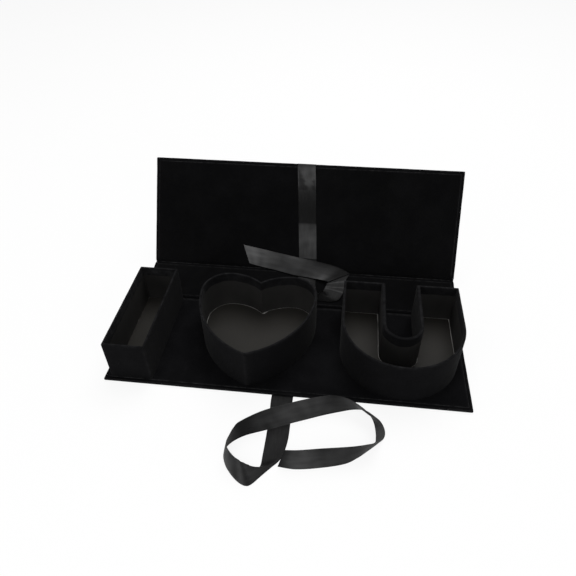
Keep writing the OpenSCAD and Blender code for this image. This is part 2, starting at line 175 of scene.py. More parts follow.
def velvet_finish(name, deep, brushed, wear_and_painted_light, sheen):
    """Cotton velvet: brushed pile in patches, stray lint, and edges painted lighter: open pile and
    painted sheen.
    """
    finish, tree, skin = new_finish(name, 1.0, 0.02, sheen, sheen_roughness=0.35)
    place = node(tree, "ShaderNodeTexCoord").outputs["Object"]
    patches = grained(tree, place, scale=26.0, detail=4.0, roughness=0.55)
    mottle = grained(tree, place, scale=120.0, detail=3.0, roughness=0.6)
    furrows = grained(tree, place, scale=160.0, detail=2.0)
    edge_light_patches = grained(tree, place, scale=170.0, detail=3.0, roughness=0.6)
    pile = grained(tree, place, scale=1400.0, detail=3.0, roughness=0.7)
    patched = moved_range(tree, patches, (0.3, 0.8), (0.0, 1.0), "SMOOTHSTEP")
    mottled = reckon(tree, "MULTIPLY_ADD", mottle, 1.4, -0.7, clamp=True)
    tone = tinted(tree, reckon(tree, "ADD", patched, mottled, clamp=True), deep, brushed)
    # Painted sheen: where the edge attribute is high, the colour goes towards the lighter edge
    # colour, partly open pile and partly painted light.
    edge = node(tree, "ShaderNodeAttribute", {"attribute_name": "wear_and_painted_light"}).outputs["Fac"]
    uneven = moved_range(tree, edge_light_patches, (0.35, 0.65), (0.15, 1.3))
    open_pile_and_sheen = reckon(tree, "MULTIPLY", reckon(tree, "MULTIPLY", edge, pile), uneven)
    edged = tinted(tree, reckon(tree, "MULTIPLY", open_pile_and_sheen, 1.7, clamp=True), tone, wear_and_painted_light)
    lint = node(tree, "ShaderNodeTexVoronoi", sockets={"Vector": place, "Scale": 55.0})
    lint_on = reckon(tree, "LESS_THAN", lint.outputs["Distance"], 0.013)
    coloured = tinted(tree, lint_on, edged, (0.05, 0.05, 0.055))
    dress(tree, skin, coloured, reckon(tree, "MULTIPLY_ADD", furrows, 1.5, pile), 0.45, 0.0004)
    return finish


# The fourth colour of each velvet is its edge colour: painted lighter, partly open pile and partly
# painted sheen.
outer_velvet = velvet_finish(
    "case_velvet", (0.0030, 0.0030, 0.0033), (0.0046, 0.0046, 0.0050),
    (0.013, 0.013, 0.0135), 0.015)
panel_velvet = velvet_finish(
    "panel_velvet", (0.0026, 0.0026, 0.0028), (0.0040, 0.0040, 0.0043),
    (0.042, 0.042, 0.043), 0.012)
# The base panel is the same velvet as the spine and lid panels, with its colours painted lighter:
# a painted sheen for the slant at which the base is seen.
base_velvet_painted_lighter = velvet_finish(
    "base_velvet_painted_lighter", (0.0032, 0.0032, 0.0036), (0.0056, 0.0056, 0.0062),
    (0.042, 0.042, 0.043), 0.02)


def make_piece(name, points, faces, finish, wear_and_painted_light=None, crease=0.7):
    """A closed mesh in metres from points in millimetres, with its faces turned outwards."""
    mesh = bpy.data.meshes.new(name)
    mesh.from_pydata([tuple(p) for p in np.asarray(points) * mm], [], faces)
    # The attribute carries painted light, partly wear: lighter edges on the velvet, a lighter foot
    # on the lining paper.
    if wear_and_painted_light is not None:
        mesh.attributes.new("wear_and_painted_light", "FLOAT", "POINT").data.foreach_set(
            "value", np.asarray(wear_and_painted_light, np.float32))
    shaped = bmesh.new()
    shaped.from_mesh(mesh)
    bmesh.ops.recalc_face_normals(shaped, faces=shaped.faces)
    for face in shaped.faces:
        face.smooth = True
    for edge in shaped.edges:
        if len(edge.link_faces) == 2 and edge.calc_face_angle() > crease:
            edge.smooth = False
    shaped.to_mesh(mesh)
    shaped.free()
    mesh.materials.append(finish)
    piece = bpy.data.objects.new(name, mesh)
    scene.collection.objects.link(piece)
    return piece


def cuts(low, high, step, fine_low=(), fine_high=(), at=()):
    """Cutting lines from low to high: fine ones near the ends, given as ways in from them."""
    lines = [low, high, *[low + f for f in fine_low], *[high - f for f in fine_high], *at]
    start, end = low + max([0, *fine_low]), high - max([0, *fine_high])
    lines += list(np.linspace(start, end, max(2, round((end - start) / step) + 1)))
    lines = sorted(lines)
    return np.array([v for i, v in enumerate(lines) if i == 0 or v - lines[i - 1] > 0.02])


def block_skin(xs, ys, zs):
    """Points and faces of the skin of a block that is cut along these lines."""
    points, known, faces = [], {}, []

    def corner(i, j, k):
        if (i, j, k) not in known:
            known[i, j, k] = len(points)
            points.append((xs[i], ys[j], zs[k]))
        return known[i, j, k]

    nx, ny, nz = len(xs) - 1, len(ys) - 1, len(zs) - 1
    square = ((0, 0), (1, 0), (1, 1), (0, 1))
    for k in (0, nz):
        faces += [[corner(i + a, j + b, k) for a, b in square]
                  for i in range(nx) for j in range(ny)]
    for k in range(nz):
        for j in (0, ny):
            faces += [[corner(i + a, j, k + b) for a, b in square] for i in range(nx)]
        for i in (0, nx):
            faces += [[corner(i, j + a, k + b) for a, b in square] for j in range(ny)]
    return np.array(points), faces


def soften(points, low, high, soft):
    """Rounds a block off: low and high are the corners of its core, soft the radius."""
    core = np.clip(points, low, high)
    off = points - core
    reach = np.linalg.norm(off, axis=1, keepdims=True)
    return core + off * np.where(reach > 1e-6, soft / np.maximum(reach, 1e-6), 0)


def waves(points, size, seed):
    """Soft uneven hollows and swells between -1 and 1, one value for each point."""
    return np.array([noise.noise(Vector(p) / size + Vector((seed, seed * 2, 0))) for p in points])


def fading(distance, spread):
    """1 at a place or an edge, and towards 0 further off than the spread."""
    return np.exp(-(distance / spread) ** 2)


mesh_step, on_face = 3.5, 0.01
cover_soft, edge_cuts = 1.3, (0.2, 0.45, 0.8, 1.3, 2.4, 3.4, 4.2)
lap_waves, edge_waves, back_waves, mitre_deep, mitre_half = 0.10, 0.15, 0.05, 0.22, 0.4
panel_bed, channel_lip, channel_roof = 0.25, 0.25, 0.12
cover_edge_light, cover_edge_light_reach = 0.8, 1.1


def velvet_cover(part, far, free, place):
    """The velvet round one board, with a channel outside for the ribbon. The far edge is soft
    where it is free. Where two turned-in edges meet, a mitre runs in from the corner."""
    half, low, high = case_length / 2, -panel_thick, -liner_thick
    channel_cuts = [side * (channel_half + lip) for side in (-1, 1) for lip in (0.0, channel_lip)]
    flat, faces = block_skin(
        cuts(-half, half, mesh_step, edge_cuts, edge_cuts, channel_cuts),
        cuts(half_gap, far, mesh_step, (), edge_cuts if free else ()),
        cuts(low, high, 1.0, edge_cuts[:4], edge_cuts[:4]))
    points = soften(
        flat, (cover_soft - half, half_gap, low + cover_soft),
        (half - cover_soft, far - cover_soft if free else far, high - cover_soft), cover_soft)
    side = half - np.abs(flat[:, 0])
    end = far - flat[:, 1] if free else np.full(len(flat), np.inf)
    rim = np.minimum(side, end)
    top, bottom = flat[:, 2] > high - on_face, flat[:, 2] < low + on_face
    inner = top & (rim > liner_margin + 0.5)
    lap, mitred = top & ~inner, top & (rim < liner_margin + 1.0)
    points[lap, 2] += lap_waves * waves(flat[lap], size=9.0, seed=3.1)
    points[mitred, 2] -= mitre_deep * fading(side - end, mitre_half)[mitred]
    points[inner, 2] -= panel_bed
    for axis, edge, seed in ((0, side < on_face, 7.7), (1, end < on_face, 9.2)):
        swell = edge_waves * waves(flat[edge], size=14.0, seed=seed)
        points[edge, axis] += np.sign(flat[edge, axis]) * swell
    channel = bottom & (np.abs(flat[:, 0]) < channel_half + channel_lip / 2)
    points[channel, 2] = low + ribbon_thick + channel_roof
    back = bottom & ~channel & (rim > cover_soft)
    points[back, 2] += back_waves * (1 + waves(flat[back], size=18.0, seed=1.3))
    # The cover's edges are painted lighter, partly open pile and partly a painted sheen.
    cover = make_piece(part + "_cover", place(points), faces, outer_velvet,
                       cover_edge_light * fading(rim, cover_edge_light_reach))
    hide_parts(part + "_velvet_cover")
    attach(cover, part)


panel_soft, panel_gap, panel_sunk, panel_cuts = 0.4, 1.2, 0.2, (0.12, 0.4, 1.2, 2.5)
panel_swell, swell_reach, panel_edge_light, panel_edge_light_reach, lower_edge = 0.09, 6.0, 0.4, 0.8, 2.0


def inner_panel(part, far, free, place, finish, lower_edge_light):
    """The velvet panel glued inside a board, a little softer at its edges. Its edges are painted
    lighter, partly open pile and partly painted sheen, and its lower edge only by the given share.
    """
    half, near = case_length / 2 - liner_margin, half_gap + panel_gap
    far -= liner_margin if free else panel_gap
    flat, faces = block_skin(
        cuts(-half, half, mesh_step, panel_cuts, panel_cuts),
        cuts(near, far, mesh_step, panel_cuts, panel_cuts),
        cuts(-liner_thick - panel_sunk, 0.0, 0.3, (), panel_cuts[:2]))
    points = soften(flat, (panel_soft - half, near + panel_soft, -np.inf),
                    (half - panel_soft, far - panel_soft, -panel_soft), panel_soft)
    lower = flat[:, 1] - near
    rim = np.minimum(half - np.abs(flat[:, 0]), np.minimum(lower, far - flat[:, 1]))
    face = flat[:, 2] > -on_face
    swell = panel_swell * np.clip(rim[face] / swell_reach, 0, 1)
    points[face, 2] += swell * (waves(flat[face], size=30.0, seed=5.5) - 1)
    # Painted sheen on the panel's edges, partly open pile; the lid panel's lower edge gets little
    # of it.
    wear_and_painted_light = panel_edge_light * fading(rim, panel_edge_light_reach) * np.where(lower < lower_edge, lower_edge_light, 1)
    panel = make_piece(part + "_panel", place(points), faces, finish, wear_and_painted_light)
    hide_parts(part + "_inner_panel")
    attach(panel, part)


for part, far, free, place, finish, lower_edge_light in (
        ("base", base_depth, True, on_base, base_velvet_painted_lighter, 1.0),
        ("spine", spine_height - half_gap, False, on_spine, panel_velvet, 1.0),
        ("lid", lid_depth, True, on_lid, panel_velvet, 0.1)):
    velvet_cover(part, far, free, place)
    inner_panel(part, far, free, place, finish, lower_edge_light)

# Grey boards. The stiff board inside the base, the spine, the lid and the tray walls is machine
# made from waste paper, 1.6 to 2.4 mm thick, with small flecks and a felt-like face.
board_finish, tree, skin = new_finish("grey_board", 0.9, 0.2)
place = node(tree, "ShaderNodeTexCoord").outputs["Object"]
fibres = grained(tree, place, scale=900.0, detail=5.0, roughness=0.7)
flecks = node(tree, "ShaderNodeTexVoronoi", sockets={"Vector": place, "Scale": 420.0})
fleck_on = reckon(tree, "LESS_THAN", flecks.outputs["Distance"], 0.14)
pulp = tinted(tree, fibres, (0.26, 0.255, 0.245), (0.40, 0.395, 0.38))
dress(tree, skin, tinted(tree, fleck_on, pulp, (0.16, 0.155, 0.15)), fibres, 0.5, 0.0002)
for name, solid in frame["nodes"].items():
    if name.endswith(("_board", "_tray_wall", "_tray_floor")):
        solid.data.materials.clear()
        solid.data.materials.append(board_finish)

# Cloth hinges. Outside, the velvet of the case runs on round each hinge and is tucked in at both
# ends. Inside, a strip of black book cloth is glued over both boards and pressed into a groove
# along the hinge line.
hinge_flange, groove_radius, cloth_thick, skin_gap = 8.0, 2.2, 0.5, 0.02
velvet_short, tuck_short, tuck_deep, tuck_gap = 0.6, 0.8, 6.0, 0.05
strip_short, strip_ripple, groove_light_reach = 2.0, 0.04, 0.6
# The book cloth's fourth colour is that of a painted light line along the groove.
hinge_cloth = velvet_finish(
    "hinge_cloth", (0.0028, 0.0028, 0.0031), (0.0042, 0.0042, 0.0046),
    (0.05, 0.05, 0.051), 0.012)


def at_rear_hinge(points):
    return leaned(points, 0.0, hinge_y, panel_thick)


def at_lid_hinge(points):
    return on_spine(np.asarray(points, float) + (0.0, spine_height, 0.0))


def second_board(turn):
    """The way along the board behind a hinge, and the way off its face."""
    cos, sin = math.cos(turn), math.sin(turn)
    return np.array([cos, sin]), np.array([-sin, cos])


def on_bend(radius, turn, steps):
    angles = np.linspace(0, turn, steps + 1)
    return [radius * np.array([math.sin(a), -math.cos(a)]) for a in angles]


def round_bend(radius, turn, steps):
    """The way along the first board, round the hinge line at a radius and on along the second."""
    along, face = second_board(turn)
    first = [np.array([-half_gap * (1 - s / 4), -radius]) for s in range(4)]
    second = [along * half_gap * s / 4 - radius * face for s in range(1, 5)]
    return first + on_bend(radius, turn, steps) + second


def outer_profile(turn, steps=14):
    """Velvet that lies on both boards and bends round the hinge line."""
    outside = round_bend(panel_thick - skin_gap, turn, steps)
    inside = round_bend(panel_thick - cloth_thick, turn, steps)
    return np.array(outside + inside[::-1])


def in_groove(radius, start, turn, steps):
    angles = np.linspace(math.pi + start, 2 * math.pi + turn - start, steps)
    return [radius * np.array([math.cos(a), math.sin(a)]) for a in angles]


def inner_profile(turn, steps=26):
    """Flange on the first board, groove round the hinge line, flange on the second board."""
    along, face = second_board(turn)

    def one_face(depth, radius):
        start = math.asin(min(1.0, depth / radius))
        widths = np.linspace(half_gap + hinge_flange, radius * math.cos(start), 6)
        return ([np.array([-w, -depth]) for w in widths]
                + in_groove(radius, start, turn, steps)[1:-1]
                + [along * w - face * depth for w in widths[::-1]])

    upper = one_face(liner_thick, groove_radius - cloth_thick)
    return np.array(upper + one_face(liner_thick + cloth_thick, groove_radius)[::-1])


def tucked_in(turn, width, steps=14):
    """Points and faces of the velvet tucked in at both ends of a hinge, between the outer cloth
    and the groove: two thin closed blocks."""
    along, face = second_board(turn)
    below, above = panel_thick - cloth_thick, liner_thick + cloth_thick
    low = on_bend(below, turn, steps)
    start = math.asin(above / groove_radius)
    high = in_groove(groove_radius - tuck_gap, start, turn, steps + 1)
    for row, depth in ((low, below), (high, above)):
        row[0], row[-1] = np.array([-half_gap, -depth]), along * half_gap - face * depth
    n, points, faces = steps + 1, [], []
    for side in (-1, 1):
        first = len(points)
        for x in (side * width / 2, side * (width / 2 - tuck_deep)):
            points += [(x, y, z) for row in (low, high) for y, z in row]
        for k in range(n - 1):
            a, b = first + k, first + n + k
            faces += [[a, a + 1, b + 1, b], [a + 2 * n, b + 2 * n, b + 1 + 2 * n, a + 1 + 2 * n],
                      [a, a + 2 * n, a + 1 + 2 * n, a + 1], [b, b + 1, b + 1 + 2 * n, b + 2 * n]]
        for a, b in ((first, first + n), (first + 2 * n - 1, first + n - 1)):
            faces.append([a, b, b + 2 * n, a + 2 * n])
    return points, faces


def between_rings(n, first, second):
    """Faces between two closed rings of n points whose numbers start at first and second."""
    return [[first + k, first + (k + 1) % n, second + (k + 1) % n, second + k] for k in range(n)]


def bar_across(name, profile, width, place, finish, wear_and_painted_light=0.0, ripple=0.0, ends=((), ())):
    """A profile, drawn back from the hinge line and up, run across the case."""
    xs = cuts(-width / 2, width / 2, 6.0)
    n, half = len(profile), len(profile) // 2
    faces = [face for i in range(len(xs) - 1) for face in between_rings(n, i * n, (i + 1) * n)]
    for i in (0, len(xs) - 1):
        faces += [[i * n + k, i * n + k + 1, i * n + n - 2 - k, i * n + n - 1 - k]
                  for k in range(half - 1)]
    points = [(x, y, z) for x in xs for y, z in profile]
    faces += [[v + len(points) for v in face] for face in ends[1]]
    wear_and_painted_light = np.concatenate([np.tile(np.broadcast_to(wear_and_painted_light, n), len(xs)), np.zeros(len(ends[0]))])
    points = place(points + list(ends[0]))
    points[:, 2] += ripple * waves(points, size=12.0, seed=4.4)
    return make_piece(name, points, faces, finish, wear_and_painted_light)


def both_sides(place, turn):
    """Where the boards on both sides of a hinge line begin, in metres."""
    along, _ = second_board(turn)
    return place([(0.0, -half_gap, 0.0), (0.0, *(half_gap * along))]) * mm


for hinge, low_body, high_body, place, turn, groove_light, groove_light_at in (
        ("rear_hinge", "base", "spine", at_rear_hinge, spine_slope,
         0.3, (0.6 - groove_radius, -liner_thick)),
        ("lid_hinge", "spine", "lid", at_lid_hinge, lid_turn,
         1.1, (0.6 * groove_radius, -0.8 * groove_radius))):
    velvet = bar_across(
        hinge + "_velvet", outer_profile(turn), case_length - velvet_short, place, outer_velvet,
        ends=tucked_in(turn, case_length - tuck_short))
    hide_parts(hinge + "_outer_cloth")
    profile = inner_profile(turn)
    # Painted highlight: a thin line painted lighter along one lip of the groove, strongest at the
    # lid hinge.
    off = np.hypot(*(profile - groove_light_at).T)
    strip = bar_across(
        hinge + "_book_cloth", profile, case_length - 2 * liner_margin - strip_short, place,
        hinge_cloth, groove_light * fading(off, groove_light_reach), strip_ripple)
    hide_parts(hinge + "_inner_cloth")
    for piece in (velvet, strip):
        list(both_sides(place, turn))
        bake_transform(piece)

# Trays. Each is a board wall wrapped in velvet, with the velvet turned in over the rim. Below it
# the wall is lined with black paper. The wall round the slot of the U is of thicker board.
tray_height, turned_edge, tray_rear = 53.5, 42.5, hinge_y - 4.0
under_cloth, under_board, under_turn, slot_extra = 0.5, 2.3, 2.8, 1.2
floor_board, card_thick, paper_inside = 1.6, 0.4, 2.6
bar_x, bar_width, bar_depth = -177.25, 49.5, 137.0
heart_x, heart_width, heart_depth, lobe_radius, notch_depth = -42.0, 143.0, 134.5, 32.6, 14.2
u_x, u_width, u_depth, slot_width, slot_depth = 130.75, 139.5, 135.5, 38.5, 90.0
lobe_x, lobe_y = heart_width / 2 - lobe_radius, tray_rear - lobe_radius
side_drop = heart_depth - lobe_radius
side_radius = ((heart_width / 2) ** 2 + side_drop ** 2) / heart_width
crown_radius = (lobe_x ** 2 + notch_depth ** 2) / (2 * notch_depth)
cut_waves, velvet_uneven, paper_uneven, patchy_edge_light = 0.9, 0.11, 0.1, 0.45
corner_light, corner_reach, bend_less_light, bend_reach = 0.2, 2.5, 0.8, 17.0


def spaced(length, step=1.7):
    """Places along a run of wall as shares of it, close together at its ends."""
    near = np.array([0.0, 0.35, 0.8, 1.4, 2.2]) / length
    middle = np.linspace(near[-1], 1 - near[-1], max(3, round(length / step)))[1:-1]
    return np.concatenate([near, middle, 1 - near[:0:-1]])


def straight(start, end, length):
    shares = spaced(length)[:, None]
    return np.array(start) * (1 - shares) + np.array(end) * shares


def arc(centre, radius, start, end, length):
    angles = start + (end - start) * spaced(length)
    return np.array(centre) + radius * np.stack([np.cos(angles), np.sin(angles)], 1)


def eased(runs, rounds=5):
    """Joins the runs of a wall and rounds the corners between them, as wrapped cloth does."""
    outline = np.concatenate(runs)
    starts = np.cumsum([0] + [len(run) for run in runs])[:-1]
    near = np.unique(np.concatenate([(starts + k) % len(outline) for k in (-2, -1, 0, 1, 2)]))
    for _ in range(rounds):
        middle = (np.roll(outline, 1, 0) + np.roll(outline, -1, 0)) / 2
        outline[near] = 0.5 * outline[near] + 0.5 * middle[near]
    return outline, starts


# Each outline is drawn at a depth in from the outer face of its wall. At the slot of the U the
# layers lie at depths of their own. The last number of a run is its length on the real wall.
def bar_outline(depth, _):
    x0, x1 = bar_x - bar_width / 2 + depth, bar_x + bar_width / 2 - depth
    y0, y1 = tray_rear - bar_depth + depth, tray_rear - depth
    return eased([
        straight((x0, y0), (x1, y0), bar_width), straight((x1, y0), (x1, y1), bar_depth),
        straight((x1, y1), (x0, y1), bar_width), straight((x0, y1), (x0, y0), bar_depth)])


def heart_outline(depth, _):
    side, crown = side_radius - depth, crown_radius - depth
    side_x, crown_y = heart_width / 2 - side_radius, tray_rear - crown_radius
    tip, notch = -math.acos(-side_x / side), math.pi - math.acos(lobe_x / crown)
    right = [
        arc((side_x, lobe_y), side, tip, 0.0, 127),
        arc((lobe_x, lobe_y), lobe_radius - depth, 0.0, math.pi / 2, 51),
        arc((lobe_x, crown_y), crown, math.pi / 2, notch, 42)]
    ends = [right[1][:1], right[2][:1], [(0.0, crown_y + math.sqrt(crown ** 2 - lobe_x ** 2))]]
    left = [np.concatenate([run[1:], end])[::-1] * (-1, 1) for run, end in zip(right, ends)]
    outline, starts = eased(right + left[::-1])
    return outline + (heart_x, 0.0), starts


def u_outline(depth, depth_at_slot):
    half, slot_half = u_width / 2 - depth, slot_width / 2 + depth_at_slot
    centre_y, slot_y = tray_rear - u_depth + u_width / 2, tray_rear - slot_depth + slot_width / 2
    rear = tray_rear - depth
    outline, starts = eased([
        arc((0, centre_y), half, -math.pi, 0.0, 219),
        straight((half, centre_y), (half, rear), 66),
        straight((half, rear), (slot_half, rear), 50),
        straight((slot_half, rear), (slot_half, slot_y), 71),
        arc((0, slot_y), slot_half, 0.0, -math.pi, 60),
        straight((-slot_half, slot_y), (-slot_half, rear), 71),
        straight((-slot_half, rear), (-half, rear), 50),
        straight((-half, rear), (-half, centre_y), 66)])
    return outline + (u_x, 0.0), starts


def wrapped(tray, layer, outline, rows, corners, finish, uneven, cut_edge=None):
    """Closed skin through rows of (depth, depth at the slot, height, share painted lighter), where
    a row out of sight has a share below zero. Near the cut edge the rows rise and fall. On the
    velvet the share is partly open pile and partly painted sheen: it varies at random, is least in
    the bend of the slot, and the corners are painted a little lighter."""
    points, wear_and_painted_light = [], []
    for depth, depth_at_slot, height, wear_and_light_share in rows:
        ring, starts = outline(depth, depth_at_slot)
        flat = np.column_stack([ring, np.zeros(len(ring))])
        heights = np.full(len(ring), panel_thick + height)
        if cut_edge and abs(height - cut_edge) < 0.2:
            heights -= cut_waves * (1 + waves(flat, size=9.0, seed=2.2))
        # Painted sheen, partly open pile: it varies at random, is mostly left off in the bend of
        # the slot, and the corners' vertical edges are painted a little lighter.
        from_bend = np.hypot(ring[:, 0] - u_x, ring[:, 1] - tray_rear + slot_depth)
        patchy = 1 + patchy_edge_light * waves(flat, size=14.0, seed=3.7)
        patchy *= 1 - bend_less_light * fading(from_bend, bend_reach)
        on_corner = np.zeros(len(ring))
        for corner in corners:
            off = np.linalg.norm(ring - ring[starts[corner]], axis=1)
            on_corner = np.maximum(on_corner, corner_light * fading(off, corner_reach))
        points.append(np.column_stack([ring, heights]))
        wear_and_painted_light.append(np.maximum(on_corner, patchy * wear_and_light_share) * (wear_and_light_share >= 0))
    n, rings = len(points[0]), len(rows)
    points = np.concatenate(points)
    points[:, :2] += uneven * np.stack([waves(points, 7.0, seed) for seed in (1.1, 6.2)], 1)
    faces = [face for r in range(rings) for face in between_rings(n, r * n, (r + 1) % rings * n)]
    piece = make_piece(
        tray + "_" + layer, points, faces, finish, np.concatenate(wear_and_painted_light), crease=1.0)
    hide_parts(tray + "_tray_" + layer)
    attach(piece, "base")


# The tray velvet's fourth colour is its edge colour, painted lighter: partly open pile and partly
# painted sheen.
tray_velvet = velvet_finish(
    "tray_velvet", (0.0040, 0.0040, 0.0044), (0.0058, 0.0058, 0.0063),
    (0.024, 0.024, 0.025), 0.02)
paper_finish, tree, skin = new_finish("lining_paper", 0.8, 0.12)
place = node(tree, "ShaderNodeTexCoord").outputs["Object"]
grain = grained(tree, place, scale=700.0, detail=4.0, roughness=0.65)
scuff = grained(tree, place, scale=45.0, detail=3.0)
scuffed = reckon(tree, "MULTIPLY_ADD", grain, 0.5, scuff, clamp=True)
black = tinted(tree, scuffed, (0.0045, 0.0045, 0.0045), (0.0135, 0.0130, 0.0125))
# Painted light: the paper is painted lighter where the attribute is high, towards the foot of the
# walls, to lift the shade there.
painted_foot_light = node(tree, "ShaderNodeAttribute", {"attribute_name": "wear_and_painted_light"}).outputs["Fac"]
dress(tree, skin, tinted(tree, painted_foot_light, black, (0.030, 0.029, 0.028)), grain, 0.35, 0.0002)

turn_at_slot, board_at_slot = under_turn + slot_extra, under_board + slot_extra
rim_profile = ((0.0, -1.4), (0.02, -0.9), (0.1, -0.42), (0.27, -0.1), (0.5, 0.0),
               (0.73, -0.1), (0.9, -0.42), (0.98, -0.9), (1.0, -1.4))
velvet_outside = [(0.0, 0.0, z, 0.0) for z in (0.0, 0.8, 2.0, 6, 12, 18, 24, 30, 36, 42, 47, 50)]
# On the rim the velvet is painted lighter, most at its crown: partly open pile and partly painted
# sheen.
velvet_outside += [
    (share * under_turn, share * turn_at_slot, tray_height + drop,
     0.14 + 0.26 * math.cos((share - 0.5) * math.pi))
    for share, drop in rim_profile]
velvet_behind = [
    (under_board + 0.15, board_at_slot + 0.15, turned_edge, -1),
    (under_board, board_at_slot, 43.5, -1), (under_board, board_at_slot, 53.0, -1),
    (under_cloth, under_cloth, 53.0, -1), (under_cloth, under_cloth, 0.0, -1)]
# The fourth number of each paper row is painted light: the lining is painted lighter towards the
# floor, which lifts the shade at the foot of the walls.
paper_rows = [(paper_inside, paper_inside + slot_extra, z, painted_foot_share)
              for z, painted_foot_share in ((1.6, 0.75), (3, 0.7), (6, 0.6), (11, 0.46), (17, 0.34), (23, 0.24),
                              (29, 0.16), (35, 0.1), (40, 0.06), (42.5, 0.04))]
paper_rows += [(under_board, board_at_slot, z, -1) for z in (42.5, 1.6)]

for tray, outline, corners, turned_in_light in (
        ("bar", bar_outline, (0, 1, 2, 3), 0.5), ("heart", heart_outline, (0, 3), 0.16),
        ("u", u_outline, (2, 3, 6, 7), 0.12)):
    # The turned-in velvet is painted a little lighter, partly open pile and partly painted sheen.
    turned_in = [(under_turn, turn_at_slot, z, turned_in_light)
                 for z in (50.5, 48, 45.5, 43.6, turned_edge + 0.1)]
    wrapped(tray, "velvet", outline, velvet_outside + turned_in + velvet_behind, corners,
            tray_velvet, velvet_uneven, turned_edge)
    wrapped(tray, "paper", outline, paper_rows, (), paper_finish, paper_uneven)

# Floor cards. A sheet of dark card is cut by hand to each tray and laid loose on its floor. It
# is cut a little small and curls at its edges, so the pale board below shows as a thin line.
card_finish, tree, skin = new_finish("floor_card", 0.5, 0.07)
place = node(tree, "ShaderNodeTexCoord").outputs["Object"]
tooth = grained(tree, place, scale=1100.0, detail=4.0, roughness=0.6)
handling = grained(tree, place, scale=30.0, detail=5.0)
share = reckon(tree, "MULTIPLY_ADD", handling, 0.8, tooth, clamp=True)
brown = tinted(tree, share, (0.0110, 0.0103, 0.0092), (0.0215, 0.0203, 0.0183))
dress(tree, skin, brown, tooth, 0.25, 0.0002)
tree.links.new(moved_range(tree, handling, (0.0, 1.0), (0.42, 0.6)), skin.inputs["Roughness"])
core_finish, tree, skin = new_finish("card_core", 0.85, 0.2)
place = node(tree, "ShaderNodeTexCoord").outputs["Object"]
plies = grained(tree, place, scale=1500.0, detail=2.0)
pale = tinted(tree, plies, (0.10, 0.095, 0.088), (0.20, 0.19, 0.175))
tree.links.new(pale, skin.inputs["Base Color"])
card_step, clear_of_edge, card_lift, card_waves = 3.5, 2.0, 0.14, 0.1


def inside_ring(ring, x, y):
    """Whether a line that runs right from the place crosses the closed ring an odd number of
    times."""
    ring = np.concatenate([ring, ring[:1]])
    (x0, y0), (x1, y1) = ring[:-1].T, ring[1:].T
    crossed = (y0 > y) != (y1 > y)
    at = x0 + (y - y0) * (x1 - x0) / np.where(crossed, y1 - y0, 1)
    return np.count_nonzero(crossed & (at > x)) % 2 == 1


def loose_card(tray, outline, gaps, curls):
    """gaps: (share of the outline, gap in mm). curls: (x, y, spread, lift in mm)."""
    shares, wide = zip(*gaps)
    tight, inset, inner = (
        outline(under_turn + way_in, turn_at_slot + way_in)[0] for way_in in (0, 1, card_step))
    steps = np.linalg.norm(np.roll(tight, -1, 0) - tight, axis=1)
    along = np.concatenate([[0], np.cumsum(steps)[:-1]]) / steps.sum()
    rim = tight + (inset - tight) * np.interp(along, shares, wide)[:, None]
    low, high = rim.min(0), rim.max(0)
    places = [Vector(p) for p in rim]
    edges = [(i, (i + 1) % len(rim)) for i in range(len(rim))]
    places += [Vector((x, y)) for x in np.arange(low[0] + clear_of_edge, high[0], card_step)
               for y in np.arange(low[1] + clear_of_edge, high[1], card_step)
               if inside_ring(inner, x, y)]
    flat, _, tris, *_ = geometry.delaunay_2d_cdt(places, edges, [], 1, 1e-4)
    flat = np.array([tuple(p) for p in flat])
    lift = card_waves * waves(np.column_stack([flat, np.zeros(len(flat))]), size=35.0, seed=8.8)
    for x, y, spread, height in curls:
        lift += height * fading(np.hypot(flat[:, 0] - x, flat[:, 1] - y), spread)
    bottom = panel_thick + floor_board + card_lift + lift
    points = np.concatenate([np.column_stack([flat, bottom + card_thick]),
                             np.column_stack([flat, bottom])])
    n = len(flat)
    used = dict.fromkeys((a, b) for tri in tris for a, b in zip(tri, tri[1:] + tri[:1]))
    sides = [[a, b, b + n, a + n] for a, b in used if (b, a) not in used]
    faces = list(tris) + [[v + n for v in tri[::-1]] for tri in tris] + sides
    card = make_piece(tray + "_card", points, faces, card_finish, crease=0.6)
    card.data.materials.append(core_finish)
    for face in card.data.polygons:
        if len(face.vertices) == 4:
            face.material_index = 1
    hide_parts(tray + "_tray_card")
    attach(card, "base")


loose_card("bar", bar_outline,
           ((0, 0.3), (0.13, 0.4), (0.2, 0.2), (0.49, 0.3), (0.55, 0.35), (0.62, 0.3),
            (0.65, 0.05), (0.97, 0.05), (1, 0.3)),
           ((-160, 60, 30, 0.3), (-195, -40, 30, 0.35)))
loose_card("heart", heart_outline,
           ((0, 0.2), (0.27, 0.2), (0.34, 0.7), (0.42, 0.7), (0.478, 0.9), (0.492, 2.4),
            (0.5, 0.6), (0.53, 0.7), (0.6, 1.0), (0.65, 1.0), (0.7, 0.8), (0.77, 0.4), (1, 0.2)),
           ((-30, 50, 12, 0.5), (-95, 45, 30, 0.4), (15, 45, 25, 0.4)))
loose_card("u", u_outline,
           ((0, 0.2), (0.25, 0.2), (0.3, 0.35), (0.35, 0.45), (0.38, 0.75), (0.42, 0.5),
            (0.43, 1.2), (0.5, 1.1), (0.51, 0.2), (0.62, 0.2), (0.71, 0.3), (0.8, 0.2),
            (0.82, 0.9), (0.89, 0.8), (1, 0.2)),
           ((180, 60, 20, 0.6), (80, 60, 25, 0.3), (190, 20, 20, 0.4)))

